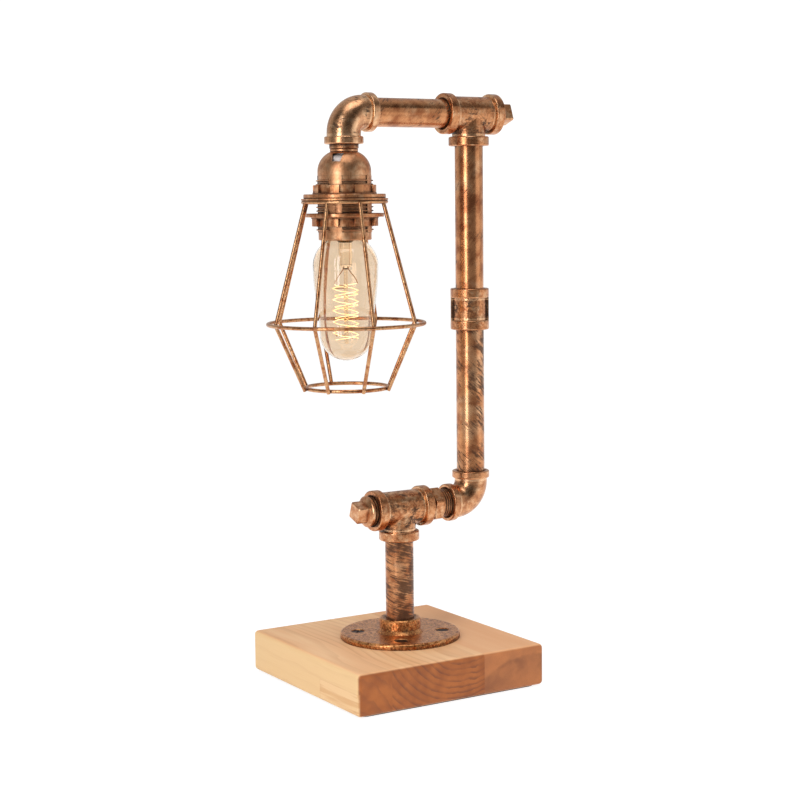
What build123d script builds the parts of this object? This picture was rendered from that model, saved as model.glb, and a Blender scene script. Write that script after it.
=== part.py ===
from build123d import *
import math
import os

# Industrial pipe table lamp. Millimetres, +Z up.
# Origin: centre of the felt pad's underside. The arm reaches from the post towards -X.

# ---------------------------------------------------------------- driving sizes
# wooden base, glued up from three staves
base_side = 150.0
base_height = 29.0
base_edge_round = 3.0
stave_left_width = 26.0
stave_middle_width = 74.0
felt_thickness = 1.0
felt_inset = 4.0
felt_corner = 6.0
lead_channel_gap = 1.0       # room round the lead in the base's channel
stem_bore_r = 8.0

# pipework
pipe_r = 10.0
pipe_bore_r = 7.5
pipe_end_chamfer = 0.8
thread_clearance = 0.05      # radial play of a pipe in a socket
crossing_gap = 0.3           # end of a pipe in a tee to the side of the crossing pipe
socket_extra = 1.0           # socket is bored this much deeper than the pipe goes
fitting_bore_r = 8.0
tee_reach = 22.4             # centre to face
tee_wall = 2.15              # round the socket
tee_branch_wall = 1.75
tee_band_rise = 2.1
tee_band_width = 6.6
tee_crotch_fillet = 2.5
elbow_reach = 21.8
elbow_wall = 1.65
elbow_band_rise = 1.7
elbow_band_width = 5.2
elbow_bend_r = 14.4
band_edge_round = 0.9
mouth_width = 1.3            # cone at the mouth of each socket, beyond its bore
mouth_depth = 1.2
coupling_length = 29.4
coupling_wall = 1.65
coupling_band_rise = 2.05
coupling_band_width = 6.7
coupling_rib_width = 4.5
coupling_rib_angle = -31.0
hex_rise = 1.1               # flats stand proud of the pipe
hex_width = 7.3
hex_offset = 2.0             # gap between the tee's face and the hexagon
hex_turn = 15.4
hex_corner_rise = 1.5        # corners are turned down to this beyond the flats
plug_disc_rise = 0.9         # disc beyond the pipe's radius
plug_disc_width = 1.6
plug_disc_round = 0.4
plug_dome_height = 2.6
plug_square = 12.0
plug_square_length = 6.6     # beyond the dome
plug_square_turn = -20.0
plug_thread_length = 11.0
lower_plug_stand = 3.4       # thread left in sight between the tee and the disc
upper_plug_stand = 1.0

# where the pipes stand
stem_x = 3.7                 # stem axis from the base's centre
stem_visible = 56.0          # flange hub to tee
hex_gap = 17.1               # tee face to elbow face along the foot run
lower_post_visible = 101.9
upper_post_visible = 100.5
arm_visible = 57.8

# floor flange
flange_r = 42.5
flange_thickness = 4.2
flange_rim_round = 1.9
flange_hub_r = 14.6
flange_hub_height = 14.0
flange_foot_r = 17.0
flange_foot_height = 1.6
flange_hole_pcd_r = 30.0
flange_hole_gap = 0.7        # hole round the screw's shank
flange_hole_count = 4
flange_hole_turn = -30.0
screw_head_r = 4.6
screw_head_sink = 0.5
screw_head_height = 2.3
screw_shank_r = 1.9
screw_length = 19.0
screw_clearance = 0.05
screw_slot_width = 1.0
screw_slot_depth = 1.0

# cord outlet in the base's back face
gland_bore_r = 3.3
gland_wall = 2.7
gland_body_length = 14.0
gland_flange_rise = 2.4
gland_flange_width = 2.0
gland_nut_rise = 1.2
gland_nut_length = 6.5
gland_height = 12.5          # axis above the wood's underside

# inner lead
lead_r = 2.5
lead_bend_extra = 3.0        # bend radius beyond the stem's bore
conductor_r = 0.9

# lamp holder
neck_visible = 3.3
neck_taper = 0.6
neck_lead_gap = 0.9
neck_stub_wall = 1.6
neck_stub_length = 5.8
neck_ring_r = 9.6
neck_ring_width = 1.8
cap_r = 18.3
cap_wall = 1.2
cap_height = 16.0
cap_skirt_height = 2.6
cap_top_r = 9.3              # flat top of the dome
window_turn = -140.0
window_top_width = 8.2
window_bottom_width = 6.2
window_start = 1.3           # below the dome's flat top
window_drop = 5.4
grip_gap = 0.8               # between the grip and the dome it fills
grip_r = 12.5
grip_height = 6.0
grip_boss_wall = 1.5         # boss that meets the dome's inside
grip_screw_r = 1.5
grip_screw_length = 9.4
grip_screw_rise = 1.9        # above the grip's underside
skirt_length = 43.7
skirt_root_r = 17.9
skirt_wall = 1.7
skirt_thread_height = 1.7
skirt_pad_rise = 0.65
skirt_pitch = 2.55
skirt_thread_start = 1.8
skirt_collar_length = 5.3
skirt_collar_rise = 0.2
skirt_edge_round = 0.8
skirt_lip_inset = 1.4
skirt_lip_width = 1.6
skirt_pad_count = 4
skirt_pad_angle = 29.0
skirt_pad_turn = -140.0
core_wall = 2.0
core_floor = 7.0
shell_wall = 0.35
shell_pitch = 3.6
shell_wave = 0.35
shell_length = 22.0
contact_width = 7.0
contact_thickness = 0.6
contact_drop = 2.4           # porcelain's floor to the bulb's tip
terminal_spread = 9.0
terminal_screw_r = 2.2
terminal_screw_length = 4.5

# shade rings
ring_play = 0.06
ring_hub_height = 6.1
ring_lug_count = 8
ring_lug_angle = 17.0
ring_rim_width = 0.9
upper_ring_flange_r = 28.1
upper_ring_flange_width = 3.0
upper_ring_wall = 0.65
upper_ring_lug_rise = 1.6
upper_ring_turn = -138.0
upper_ring_drop = 6.4        # cap's edge to the top of the hub
lower_ring_flange_r = 26.8
lower_ring_flange_width = 2.6
lower_ring_wall = 0.95
lower_ring_lug_rise = 2.4
lower_ring_turn = -130.0
lower_ring_gap = 8.8         # cage plate to the lower ring

# wire cage
wire_r = 1.3
cage_plate_thickness = 1.2
cage_ring_r = 28.4           # centreline of the top ring
cage_mid_r = 53.7
cage_bottom_r = 28.35
cage_mid_drop = 82.8         # top ring's centre to mid ring's centre
cage_total_drop = 126.8
cage_wire_count = 8
cage_wire_turn = -99.2
weld_gap = 0.02

# bulb
bulb_r = 22.3
bulb_glass_wall = 0.8
bulb_length_below = 82.5     # holder's rim to the bulb's tip
bulb_play = 0.25             # bulb's cap in the screw shell
bulb_cap_wall = 0.35
bulb_cap_wave = 0.5
bulb_cap_length = 24.0
bulb_cap_sink = 1.2          # cap's lower edge above the holder's rim
bulb_seal_height = 3.0
bulb_seal_r = 5.5
bulb_tip_r = 4.2
bulb_tip_height = 1.3
bulb_neck_gap = 0.2
bulb_shoulder_inset = 2.1    # from the widest radius, part of the way down the shoulder
bulb_shoulder_drop = 8.5
bulb_widest_drop = 21.0      # holder's rim to the widest place
bulb_end_inset = 3.9         # round end of the glass, from the widest radius
filament_r = 9.0
filament_turns = 7
filament_wire_r = 0.35
filament_top_depth = 30.0     # holder's rim to the first turn
filament_foot_gap = 14.7    # bulb's lower end to the last turn
glass_stem_r = 4.6
glass_stem_drop = 20.0
glass_rod_r = 1.4
glass_rod_tail = 3.0         # rod beyond the last turn
support_wire_r = 0.35
support_gap = 0.3

# ---------------------------------------------------------------- places that follow
base_z = felt_thickness
base_top = base_z + base_height
hub_top = base_top + flange_hub_height
foot_run_z = hub_top + stem_visible + tee_reach
gland_z = base_z + gland_height
gland_body_r = gland_bore_r + gland_wall
lead_bend_r = stem_bore_r + lead_bend_extra
flange_hole_r = screw_shank_r + flange_hole_gap
post_x = stem_x + tee_reach + hex_gap + elbow_reach
coupling_z = foot_run_z + elbow_reach + lower_post_visible
coupling_top = coupling_z + coupling_length
coupling_mid = coupling_z + coupling_length / 2
arm_z = coupling_top + upper_post_visible + tee_reach
lamp_x = post_x - tee_reach - arm_visible - elbow_reach
thread_depth = tee_reach - pipe_r - crossing_gap      # how far a pipe screws in
socket_r = pipe_r + thread_clearance
socket_depth = thread_depth + socket_extra
tee_body_r = socket_r + tee_wall
tee_branch_r = socket_r + tee_branch_wall
tee_band_r = tee_body_r + tee_band_rise
elbow_body_r = socket_r + elbow_wall
elbow_band_r = elbow_body_r + elbow_band_rise
coupling_body_r = socket_r + coupling_wall
coupling_band_r = coupling_body_r + coupling_band_rise
hex_flat_r = pipe_r + hex_rise
plug_disc_r = pipe_r + plug_disc_rise

neck_z = arm_z - elbow_reach                    # underside of the elbow's band
cap_top = neck_z - neck_visible - neck_ring_width
cap_edge = cap_top - cap_height
neck_stub_end = neck_z - neck_visible - neck_stub_length
grip_top = cap_top - cap_wall - grip_gap
grip_bottom = grip_top - grip_height
grip_bore_r = lead_r + thread_clearance
lead_end_z = grip_bottom - 1.0
skirt_bottom = cap_edge - skirt_length
neck_bore_r = lead_r + neck_lead_gap
neck_stub_r = neck_bore_r + neck_stub_wall
skirt_bore_r = skirt_root_r - skirt_wall
skirt_crest_r = skirt_root_r + skirt_thread_height
upper_ring_top = cap_edge - upper_ring_drop
plate_top = upper_ring_top - ring_hub_height - upper_ring_flange_width
plate_bottom = plate_top - cage_plate_thickness
cage_ring_z = plate_bottom - wire_r
cage_mid_z = cage_ring_z - cage_mid_drop
cage_bottom_z = cage_ring_z - cage_total_drop
lower_ring_top = plate_bottom - lower_ring_gap
lower_ring_bottom = lower_ring_top - lower_ring_flange_width - ring_hub_height
ring_bore_r = skirt_crest_r + ring_play
upper_ring_hub_r = ring_bore_r + upper_ring_wall
lower_ring_hub_r = ring_bore_r + lower_ring_wall

bulb_cap_bottom = skirt_bottom + bulb_cap_sink
bulb_cap_top = bulb_cap_bottom + bulb_cap_length
bulb_tip_z = bulb_cap_top + bulb_seal_height + bulb_tip_height
bulb_bottom = skirt_bottom - bulb_length_below
shell_top = bulb_tip_z + contact_drop
core_top = shell_top + core_floor
core_bottom = skirt_bottom + skirt_lip_width
core_r = skirt_bore_r - thread_clearance
core_bore_r = core_r - core_wall
shell_crest_r = core_bore_r - thread_clearance
bulb_cap_r = shell_crest_r - shell_wave - shell_wall - bulb_play
bulb_cap_inner_r = bulb_cap_r - bulb_cap_wave - bulb_cap_wall
bulb_neck_r = bulb_cap_inner_r - bulb_neck_gap
filament_top = skirt_bottom - filament_top_depth
filament_foot = bulb_bottom + filament_foot_gap
filament_pitch = (filament_top - filament_foot) / filament_turns

STEM = Pos(stem_x, 0, 0)
POST = Pos(post_x, 0, 0)
LAMP = Pos(lamp_x, 0, 0)


# ---------------------------------------------------------------- small helpers
def disc(radius, z0, z1):
    """Solid cylinder about Z between two heights."""
    return Pos(0, 0, (z0 + z1) / 2) * Cylinder(radius, abs(z1 - z0))


def tube(outer, inner, z0, z1):
    """Plain tube about Z between two heights."""
    return disc(outer, z0, z1) - disc(inner, z0 - 1, z1 + 1)


def turned(*points):
    """Body of revolution about Z from (radius, height) points."""
    outline = Polyline(*[(r, 0, z) for r, z in points], close=True)
    return revolve(make_face(outline), Axis.Z)


def along_x(shape):
    """Turn a piece that stands on Z so that its +Z end points to +X."""
    return Rot(0, 90, 0) * shape


def turned_band(radius, width, bore):
    """Cast end band of a fitting: its face lies at z = 0 and it reaches down."""
    band = disc(radius, -width, 0)
    band = fillet(band.edges().filter_by(GeomType.CIRCLE), band_edge_round)
    return band - disc(bore, -width - 1, 1)


def socket_cut(face, depth):
    """Cut for a pipe end below a fitting's face, its mouth opened to a cone."""
    mouth = Pos(0, 0, face - mouth_depth / 2) * Cone(socket_r, socket_r + mouth_width, mouth_depth)
    return disc(socket_r, face - depth, face + 1) + mouth


def torus_ring(ring_r, z):
    """Closed ring of cage wire."""
    return Pos(0, 0, z) * Torus(ring_r, wire_r)


def facing_centre(radius, angle):
    """Location on a circle about Z, with local +X pointing outwards."""
    return Rot(0, 0, angle) * Pos(radius, 0, 0)


# ---------------------------------------------------------------- base
def base_block():
    block = Pos(0, 0, base_z + base_height / 2) * Box(base_side, base_side, base_height)
    block = fillet(block.edges(), base_edge_round)
    block -= STEM * disc(stem_bore_r, base_z - 1, base_top + 1)
    channel_length = base_side / 2 - gland_body_length - stem_x
    channel_r = lead_r + lead_channel_gap
    channel_depth = gland_height + channel_r
    block -= Pos(stem_x + channel_length / 2, 0, base_z + channel_depth / 2) * Box(
        channel_length, 2 * channel_r, channel_depth)
    block -= Pos(base_side / 2 - gland_body_length / 2, 0, gland_z) * along_x(
        Cylinder(gland_body_r + thread_clearance, gland_body_length + 0.01))
    for angle in screw_angles():
        pilot_z = base_top - screw_length
        block -= STEM * facing_centre(flange_hole_pcd_r, angle) * disc(
            screw_shank_r + screw_clearance, pilot_z, base_top + 1)
    return block


def staves():
    """The block cut at its two glue lines."""
    block = base_block()
    left = -base_side / 2
    cuts = [left, left + stave_left_width, left + stave_left_width + stave_middle_width, -left]
    pieces = []
    for x0, x1 in zip(cuts, cuts[1:]):
        slab = Pos((x0 + x1) / 2, 0, base_z + base_height / 2) * Box(
            x1 - x0, base_side + 2, base_height + 2)
        pieces.append(block & slab)
    return pieces


def felt_pad():
    side = base_side - 2 * felt_inset
    return extrude(RectangleRounded(side, side, felt_corner), felt_thickness)


def gland_body():
    """Threaded bush in the base's back face, with a round flange outside."""
    shaft = disc(gland_body_r, -gland_body_length, 0)
    collar = disc(gland_body_r + gland_flange_rise, 0, gland_flange_width)
    collar = chamfer(collar.edges().filter_by(GeomType.CIRCLE), 0.4)
    bush = shaft + collar - disc(gland_bore_r, -gland_body_length - 1, gland_flange_width + 1)
    return Pos(base_side / 2, 0, gland_z) * along_x(bush)


def gland_nut():
    """Domed hexagon nut on the bush's flange."""
    z0 = gland_flange_width
    corner_r = gland_body_r + gland_nut_rise
    nut = Pos(0, 0, z0) * extrude(RegularPolygon(corner_r, 6), gland_nut_length)
    dome_r = 1.45 * corner_r
    nut &= Pos(0, 0, z0 + gland_nut_length - dome_r) * Sphere(dome_r)
    nut -= disc(gland_bore_r, z0 - 1, z0 + gland_nut_length + 1)
    return Pos(base_side / 2, 0, gland_z) * along_x(nut)


# ---------------------------------------------------------------- pipework
def screw_angles():
    step = 360 / flange_hole_count
    return [flange_hole_turn + i * step for i in range(flange_hole_count)]


def floor_flange():
    z0 = base_top
    z1 = z0 + flange_thickness
    foot_z = z1 + flange_foot_height
    plate = disc(flange_r, z0, z1)
    rims = plate.edges().filter_by(GeomType.CIRCLE).sort_by(Axis.Z)
    plate = fillet(rims[-1], flange_rim_round)
    hub = turned((0, z0), (flange_foot_r, z0), (flange_foot_r, z1), (flange_hub_r + 0.6, foot_z),
                 (flange_hub_r, foot_z + 0.8), (flange_hub_r, hub_top - 0.8),
                 (flange_hub_r - 0.8, hub_top), (0, hub_top))
    flange = plate + hub - disc(socket_r, z0 - 1, hub_top + 1)
    for angle in screw_angles():
        hole = disc(flange_hole_r, z0 - 1, z1 + 1) + countersink_cone(z1)
        flange -= facing_centre(flange_hole_pcd_r, angle) * hole
    return STEM * flange


def countersink_cone(plate_top_z):
    """Cone of a countersunk hole, a little deeper than the screw head."""
    depth = screw_head_height + screw_head_sink
    wide = screw_head_r + screw_clearance
    narrow = flange_hole_r
    slope = (wide - narrow) / screw_head_height
    top_r = wide + slope * (screw_head_sink + 1)
    return Pos(0, 0, plate_top_z + 1 - (depth + 1) / 2) * Cone(narrow, top_r, depth + 1)


def flange_screws():
    """Countersunk wood screws, slot turned a little differently in each."""
    head_z = base_top + flange_thickness - screw_head_sink
    neck = head_z - screw_head_height
    tip = base_top + 1 - screw_length
    screws = []
    for i, angle in enumerate(screw_angles()):
        body = turned((0, head_z), (screw_head_r, head_z), (screw_shank_r, neck),
                      (screw_shank_r, tip + 3), (0, tip))
        slot = Rot(0, 0, 37 * i) * Pos(0, 0, head_z) * Box(
            3 * screw_head_r, screw_slot_width, 2 * screw_slot_depth)
        screws.append(STEM * facing_centre(flange_hole_pcd_r, angle) * (body - slot))
    return screws


def pipe(length):
    """Length of pipe standing on z = 0, both ends chamfered."""
    outer = disc(pipe_r, 0, length)
    outer = chamfer(outer.edges().filter_by(GeomType.CIRCLE), pipe_end_chamfer)
    return outer - disc(pipe_bore_r, -1, length + 1)


def standing_pipe(z0, z1):
    """Pipe whose visible length runs from z0 to z1, screwed in at both ends."""
    return Pos(0, 0, z0 - thread_depth) * pipe(z1 - z0 + 2 * thread_depth)


def tee():
    """Banded tee about the origin: run along X, branch towards -Z."""
    run = along_x(Cylinder(tee_body_r, 2 * tee_reach - 2))
    branch = disc(tee_branch_r, 1 - tee_reach, 0)
    body = run + branch
    crotch = [e for e in body.edges() if e.geom_type != GeomType.CIRCLE
              and e.geom_type != GeomType.LINE]
    body = fillet(crotch, tee_crotch_fillet)
    band = Pos(0, 0, tee_reach) * turned_band(tee_band_r, tee_band_width, fitting_bore_r)
    body += along_x(band)
    body += Rot(0, -90, 0) * band
    body += Rot(180, 0, 0) * band
    body -= along_x(Cylinder(fitting_bore_r, 2 * tee_reach + 2))
    body -= disc(fitting_bore_r, -tee_reach - 1, 0)
    socket = socket_cut(tee_reach, socket_depth)
    return body - along_x(socket) - Rot(0, -90, 0) * socket - Rot(180, 0, 0) * socket


def elbow():
    """Banded elbow about its axis crossing: legs towards +X and -Z."""
    bend = elbow_bend_r
    path = Line((0, 0, -elbow_reach + 1), (0, 0, -bend))
    path += TangentArc((0, 0, -bend), (bend, 0, 0), tangent=(0, 0, 1))
    path += Line((bend, 0, 0), (elbow_reach - 1, 0, 0))
    start = Plane((0, 0, -elbow_reach + 1), z_dir=(0, 0, 1))
    body = sweep(start * Circle(elbow_body_r), path)
    band = Pos(0, 0, elbow_reach) * turned_band(elbow_band_r, elbow_band_width, fitting_bore_r)
    body += along_x(band) + Rot(180, 0, 0) * band
    bore = sweep(start * Circle(fitting_bore_r), path)
    socket = socket_cut(elbow_reach, socket_depth)
    return body - bore - along_x(socket) - Rot(180, 0, 0) * socket


def post_coupling():
    """Banded coupling with two cast ribs."""
    z0, z1 = coupling_z, coupling_top
    body = disc(coupling_body_r, z0 + 1, z1 - 1)
    rib = Pos(0, 0, coupling_mid) * Box(
        2 * coupling_band_r + 2, coupling_rib_width, coupling_length - 2)
    ribs = (Rot(0, 0, coupling_rib_angle) * rib) & disc(coupling_band_r - 0.1, z0 + 1, z1 - 1)
    band = turned_band(coupling_band_r, coupling_band_width, fitting_bore_r)
    body += ribs
    body += Pos(0, 0, z1) * band
    body += Pos(0, 0, z0) * Rot(180, 0, 0) * band
    half = coupling_length / 2
    socket = socket_cut(half, half + 1)
    middle = Pos(0, 0, coupling_mid)
    return POST * (body - middle * socket - middle * Rot(180, 0, 0) * socket)


def square_plug(stand):
    """Plug in a fitting whose face is z = 0, its square head towards +Z."""
    thread_end = stand - plug_thread_length
    disc_top = stand + plug_disc_width
    dome_r = plug_disc_r - plug_disc_round
    dome_top = disc_top + plug_dome_height
    ball_r = (dome_r ** 2 + plug_dome_height ** 2) / (2 * plug_dome_height)
    body = turned((0, thread_end), (pipe_r - pipe_end_chamfer, thread_end),
                  (pipe_r, thread_end + pipe_end_chamfer), (pipe_r, stand), (plug_disc_r, stand),
                  (plug_disc_r, disc_top - plug_disc_round), (dome_r, disc_top), (0, disc_top))
    dome = Pos(0, 0, dome_top - ball_r) * Sphere(ball_r)
    body += dome & disc(dome_r, disc_top - 0.5, dome_top + 1)
    head = Pos(0, 0, disc_top) * extrude(
        Rectangle(plug_square, plug_square), plug_dome_height + plug_square_length)
    head = fillet(head.edges().filter_by(Axis.Z), 1.2)
    head = chamfer(head.faces().sort_by(Axis.Z)[-1].edges(), 0.7)
    return body + Rot(0, 0, plug_square_turn) * head


def hex_nipple():
    """Hexagon nipple between the tee and the elbow of the foot run."""
    x0 = stem_x + tee_reach
    x1 = x0 + hex_gap
    hexagon = Pos(0, 0, hex_offset) * Rot(0, 0, hex_turn) * extrude(
        RegularPolygon(hex_flat_r, 6, major_radius=False), hex_width)
    rounding = disc(hex_flat_r + hex_corner_rise, hex_offset, hex_offset + hex_width)
    rounding = chamfer(rounding.edges().filter_by(GeomType.CIRCLE), 0.9)
    shank = disc(pipe_r, -thread_depth, x1 - x0 + thread_depth)
    shank = chamfer(shank.edges().filter_by(GeomType.CIRCLE), pipe_end_chamfer)
    nipple = shank + (hexagon & rounding)
    nipple -= disc(pipe_bore_r, -thread_depth - 1, x1 - x0 + thread_depth + 1)
    return Pos(x0, 0, foot_run_z) * along_x(nipple)


def arm_pipe():
    x0 = lamp_x + elbow_reach
    x1 = post_x - tee_reach
    return Pos(0, 0, arm_z) * along_x(standing_pipe(x0, x1))


# ---------------------------------------------------------------- lamp holder
def holder_neck():
    """Adapter from the elbow's thread down to the holder's small thread."""
    z0 = neck_z - neck_visible
    body = turned((0, neck_z + thread_depth), (pipe_r, neck_z + thread_depth),
                  (pipe_r, z0 + neck_taper), (pipe_r - neck_taper, z0),
                  (neck_stub_r, z0), (neck_stub_r, neck_stub_end), (0, neck_stub_end))
    return LAMP * (body - disc(neck_bore_r, neck_stub_end - 1, neck_z + thread_depth + 1))


def neck_ring():
    z1 = cap_top + neck_ring_width
    ring = disc(neck_ring_r, cap_top, z1)
    ring = fillet(ring.edges().filter_by(GeomType.CIRCLE), 0.4)
    return LAMP * (ring - disc(neck_stub_r + thread_clearance, cap_top - 1, z1 + 1))


def cap_outline(offset):
    """Half outline of the cap's skin, moved inwards by the offset, as a face."""
    r_edge = cap_r - offset
    arc_z = cap_edge + cap_skirt_height
    top_z = cap_top - offset
    lift = cap_top - arc_z
    inset = cap_r - cap_top_r
    arc_r = (inset ** 2 + lift ** 2) / (2 * inset)
    r_top = cap_r - arc_r + math.sqrt((arc_r - offset) ** 2 - (lift - offset) ** 2)
    edge_z = cap_edge - (1 if offset else 0)
    outline = Line((0, 0, edge_z), (r_edge, 0, edge_z))
    outline += Line((r_edge, 0, edge_z), (r_edge, 0, arc_z))
    outline += TangentArc((r_edge, 0, arc_z), (r_top, 0, top_z), tangent=(0, 0, 1))
    outline += Line((r_top, 0, top_z), (0, 0, top_z))
    outline += Line((0, 0, top_z), (0, 0, edge_z))
    return make_face(outline)


def holder_cap():
    """Domed cap: a thin shell with a window near its top."""
    shell = revolve(cap_outline(0), Axis.Z) - revolve(cap_outline(cap_wall), Axis.Z)
    shell -= disc(neck_stub_r + thread_clearance, cap_top - 5, cap_top + 1)
    top = window_top_width / 2
    low = window_bottom_width / 2
    z1 = cap_top - window_start
    z0 = z1 - window_drop
    cut = make_face(Polyline((0, -top, z1), (0, top, z1), (0, low, z0), (0, -low, z0), close=True))
    window = Pos(neck_stub_r + 1, 0, 0) * extrude(cut, cap_r, dir=(1, 0, 0))
    return LAMP * (shell - Rot(0, 0, window_turn) * window)


def cord_grip():
    """Zinc grip that fills the dome, bored for the lead, with a hole for its grub screw."""
    block = revolve(cap_outline(cap_wall + grip_gap), Axis.Z) & disc(grip_r, grip_bottom, grip_top + 1)
    stub_bore_r = neck_stub_r + thread_clearance
    block += disc(stub_bore_r + grip_boss_wall, grip_top - 0.5, cap_top - cap_wall)
    block -= disc(stub_bore_r, neck_stub_end - crossing_gap, cap_top)
    block -= disc(grip_bore_r, grip_bottom - 1, cap_top)
    hole = along_x(disc(grip_screw_r + thread_clearance, 0, cap_r))
    return LAMP * (block - grip_screw_place() * hole)


def grip_screw_place():
    """Where the grub screw starts, with local +X pointing outwards."""
    return Rot(0, 0, window_turn + 180) * Pos(grip_bore_r, 0, grip_bottom + grip_screw_rise)


def grip_screw():
    """Grub screw that holds the lead in the grip."""
    screw = disc(grip_screw_r, 0, grip_screw_length)
    slot = Pos(0, 0, grip_screw_length) * Box(0.5, 4, 1.6)
    return LAMP * grip_screw_place() * along_x(screw - slot)


def thread_profile(root, crest, z_top, z_low, pitch):
    """(radius, height) points of a row of rounded thread ridges, from the top down."""
    points = []
    count = int((z_top - z_low) / pitch)
    for i in range(count):
        z = z_top - i * pitch
        points += [(root, z), (root, z - 0.38 * pitch), (crest, z - 0.56 * pitch),
                   (crest, z - 0.76 * pitch), (root, z - 0.94 * pitch)]
    points.append((root, z_low))
    return points


def holder_skirt():
    """Skirt with the shade-ring thread, cut away to four smooth pads."""
    z1 = cap_edge
    z_thread = z1 - skirt_thread_start
    z_collar = skirt_bottom + skirt_collar_length
    ridges = thread_profile(skirt_root_r, skirt_crest_r, z_thread, z_collar, skirt_pitch)
    threaded = turned((0, z1), (skirt_root_r, z1), *ridges, (0, z_collar))
    smooth = disc(skirt_root_r + skirt_pad_rise, z_collar, z1)
    half = math.radians(skirt_pad_angle / 2)
    far = 2 * skirt_crest_r
    wedge = make_face(Polyline((0, 0, 0), (far * math.cos(half), far * math.sin(half), 0),
                               (far * math.cos(half), -far * math.sin(half), 0), close=True))
    wedge = Pos(0, 0, z_collar) * extrude(wedge, z1 - z_collar)
    for i in range(skirt_pad_count):
        sector = Rot(0, 0, skirt_pad_turn + i * 360 / skirt_pad_count) * wedge
        threaded = threaded - sector + (smooth & sector)
    collar = disc(skirt_root_r + skirt_collar_rise, skirt_bottom, z_collar)
    collar = fillet(collar.edges().filter_by(GeomType.CIRCLE).sort_by(Axis.Z)[0], skirt_edge_round)
    skirt = threaded + collar
    skirt -= disc(skirt_bore_r, skirt_bottom + skirt_lip_width, z1 + 1)
    return LAMP * (skirt - disc(skirt_bore_r - skirt_lip_inset, skirt_bottom - 1, z1))


def holder_core():
    """Porcelain body of the holder: a cup upside down, with a hole for each conductor."""
    core = disc(core_r, core_bottom, core_top)
    core = chamfer(core.edges().filter_by(GeomType.CIRCLE), 0.6)
    core -= disc(core_bore_r, core_bottom - 1, shell_top)
    for side in (-1, 1):
        core -= Pos(0, side * terminal_spread, 0) * disc(
            terminal_screw_r + thread_clearance, core_top - terminal_screw_length, core_top + 1)
    return LAMP * core


def screw_shell():
    """Rolled shell that the bulb screws into."""
    r1 = shell_crest_r
    r0 = shell_crest_r - shell_wave
    z = shell_top
    outer, inner = [], []
    while z - shell_pitch > shell_top - shell_length:
        outer += [(r1, z), (r1, z - shell_pitch / 2), (r0, z - shell_pitch * 0.7),
                  (r0, z - shell_pitch * 0.8)]
        z -= shell_pitch
    outer.append((r1, z))
    inner = [(r - shell_wall, height) for r, height in reversed(outer)]
    return LAMP * turned(*outer, *inner)


def centre_contact():
    """Springy strip under the porcelain floor that meets the bulb's tip."""
    z1 = shell_top
    z0 = bulb_tip_z
    half = contact_width
    strip = Polyline((-half, 0, z1), (-half + 2.5, 0, z1), (half * 0.2, 0, z0 + contact_thickness),
                     (half * 0.5, 0, z0 + contact_thickness), (half * 0.5, 0, z0),
                     (-1.0, 0, z0), (-half + 2.0, 0, z1 - contact_thickness),
                     (-half, 0, z1 - contact_thickness), close=True)
    face = make_face(strip)
    return LAMP * extrude(face, contact_width / 2, dir=(0, 1, 0), both=True)


def terminal_screws():
    """Two cheese-head screws in the porcelain's top."""
    pieces = []
    for side in (-1, 1):
        shank = disc(terminal_screw_r, core_top - terminal_screw_length, core_top)
        head = disc(terminal_screw_r + 1.0, core_top, core_top + 2.0)
        slot = Pos(0, 0, core_top + 2.0) * Box(8, 0.7, 1.6)
        pieces.append(LAMP * Pos(0, side * terminal_spread, 0) * (shank + head - slot))
    return pieces


# ---------------------------------------------------------------- shade rings
def shade_ring(flange_radius, flange_width, hub_radius, lug_rise, turn):
    """Castellated ring: flange at z = 0 downwards, hub and lugs above it."""
    flange = disc(flange_radius, -flange_width, 0)
    flange = fillet(flange.edges().filter_by(GeomType.CIRCLE), 0.6)
    ring = flange + disc(hub_radius, 0, ring_hub_height)
    lug_radius = hub_radius + lug_rise
    ring += disc(lug_radius, 0, ring_rim_width)
    half = math.radians(ring_lug_angle / 2)
    far = 2 * lug_radius
    wedge = make_face(Polyline((0, 0, 0), (far * math.cos(half), far * math.sin(half), 0),
                               (far * math.cos(half), -far * math.sin(half), 0), close=True))
    wedge = extrude(wedge, ring_hub_height)
    lug = wedge & disc(lug_radius, 0, ring_hub_height)
    for i in range(ring_lug_count):
        ring += Rot(0, 0, turn + i * 360 / ring_lug_count) * lug
    return ring - disc(ring_bore_r, -flange_width - 1, ring_hub_height + 1)


def upper_shade_ring():
    ring = shade_ring(upper_ring_flange_r, upper_ring_flange_width, upper_ring_hub_r,
                      upper_ring_lug_rise, upper_ring_turn)
    return LAMP * Pos(0, 0, plate_top + upper_ring_flange_width) * ring


def lower_shade_ring():
    ring = shade_ring(lower_ring_flange_r, lower_ring_flange_width, lower_ring_hub_r,
                      lower_ring_lug_rise, lower_ring_turn)
    place = Pos(0, 0, lower_ring_top - lower_ring_flange_width) * Rot(180, 0, 0)
    return LAMP * place * ring


# ---------------------------------------------------------------- cage
def cage_plate():
    return LAMP * tube(cage_ring_r + wire_r, ring_bore_r, plate_bottom, plate_top)


def wire_run(bend, end):
    """Straight wire from its bend to just inside the ring that it is welded to."""
    a, b = Vector(*bend), Vector(*end)
    along = (b - a).normalized()
    return Solid.make_cylinder(wire_r, (b - a).length - wire_r / 3, Plane(a, z_dir=along))


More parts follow.
